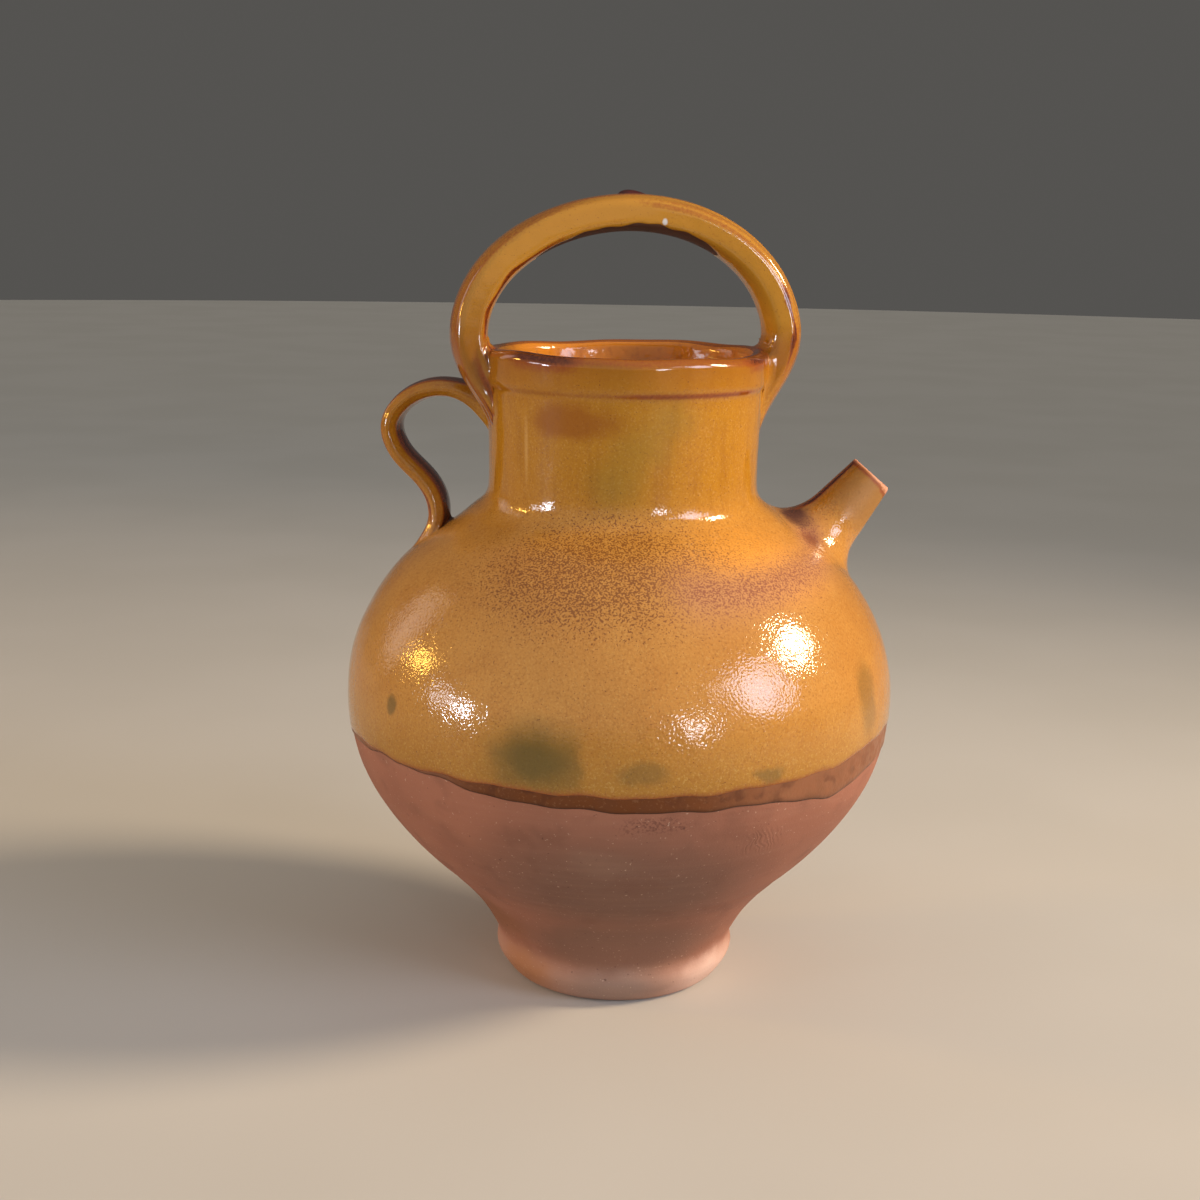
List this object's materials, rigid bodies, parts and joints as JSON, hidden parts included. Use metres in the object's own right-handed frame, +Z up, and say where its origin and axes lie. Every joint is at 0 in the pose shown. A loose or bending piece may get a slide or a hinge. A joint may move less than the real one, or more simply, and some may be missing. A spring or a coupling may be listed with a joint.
{
  "type": "glazed terracotta water jug",
  "caption": "Round-bellied terracotta water jug with a stirrup handle over the mouth, a small side handle and a short spout, honey-glazed above and bare below.",
  "frame": {"origin": "middle of the flat foot, on the surface that the jug stands on", "axes": "+Z up along the wheel axis, +X along the spout, the stirrup handle in the XZ plane and the side handle near -X"},
  "size_m": [0.223, 0.223, 0.3216],
  "materials": {
    "bare_terracotta": "matt unglazed red earthenware",
    "honey_glaze": "glossy honey lead-type glaze over pale slip",
    "glazed_luting": "glossy honey-brown glaze over thumbed clay",
    "brown_lining_glaze": "glossy orange-brown glaze",
    "clear_glaze_on_red_clay": "semi-matt brown clear glaze straight on red clay",
    "red_brown_glaze_drip": "thick glossy dark red-brown drop of glaze"
  },
  "bodies": {
    "root": {"thrown_body": "bare_terracotta", "spout": "honey_glaze", "stirrup_handle": "honey_glaze", "side_handle": "honey_glaze", "outer_glaze": "honey_glaze", "spout_luting": "glazed_luting", "stirrup_luting_spout_side": "glazed_luting", "stirrup_luting_handle_side": "glazed_luting", "side_handle_luting_upper": "glazed_luting", "side_handle_luting_lower": "glazed_luting", "inner_glaze": "brown_lining_glaze", "glaze_run_band": "clear_glaze_on_red_clay", "glaze_drip": "red_brown_glaze_drip"}
  },
  "joints": []
}
